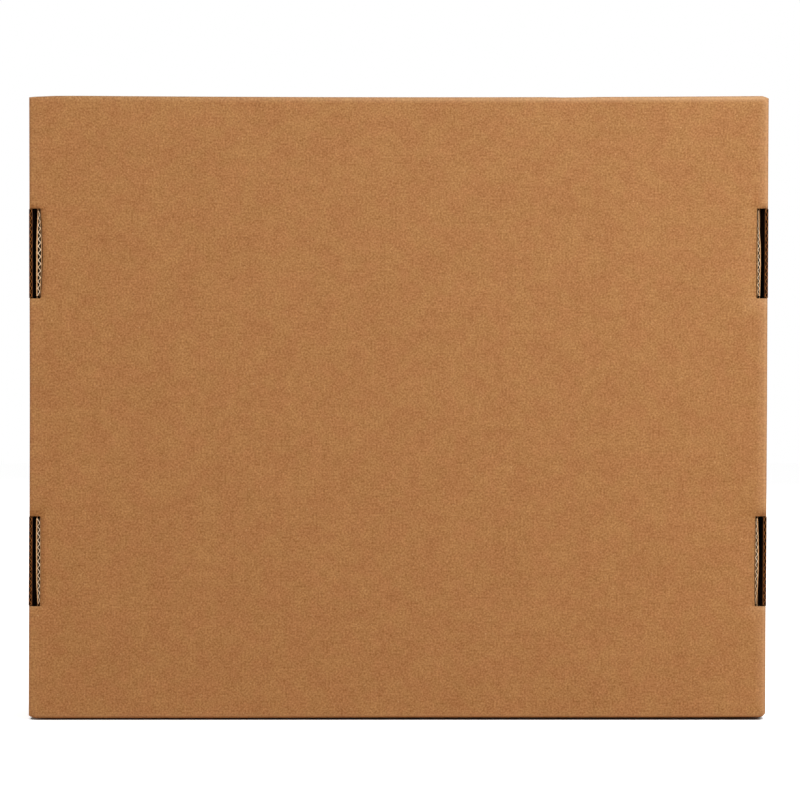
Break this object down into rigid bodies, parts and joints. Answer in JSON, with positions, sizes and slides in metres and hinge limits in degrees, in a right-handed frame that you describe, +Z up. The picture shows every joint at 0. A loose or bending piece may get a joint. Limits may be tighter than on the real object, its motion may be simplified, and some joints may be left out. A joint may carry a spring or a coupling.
{
  "type": "corrugated mailer box",
  "caption": "Closed flat kraft mailer box, folded from one corrugated sheet, with rolled-over side walls, lock tabs through its bottom and a tuck-in lid.",
  "frame": {"origin": "middle of the front wall's outer face, which the box stands on", "axes": "+Z up from the front wall to the back wall, -Y out of the bottom panel, X along the box between its side walls"},
  "size_m": [0.366, 0.0794, 0.308],
  "materials": {
    "kraft_board": "matt brown kraft liner"
  },
  "bodies": {
    "tray": {"tray": "kraft_board"},
    "lid": {"lid": "kraft_board"},
    "tuck_flap": {"tuck_flap": "kraft_board"}
  },
  "joints": [
    {"name": "lid_hinge", "type": "hinge", "parent": "tray", "child": "lid", "pos_m": [0, 0.0389, 0.3072], "axis": [1, 0, 0], "range_deg": [0, 105]},
    {"name": "tuck_crease", "type": "hinge", "parent": "lid", "child": "tuck_flap", "pos_m": [0, 0.0389, 0.0036], "axis": [-1, 0, 0], "range_deg": [0, 63]}
  ],
  "couplings": [
    {"joint": "tuck_crease", "follows": "lid_hinge", "ratio": 0.6}
  ]
}
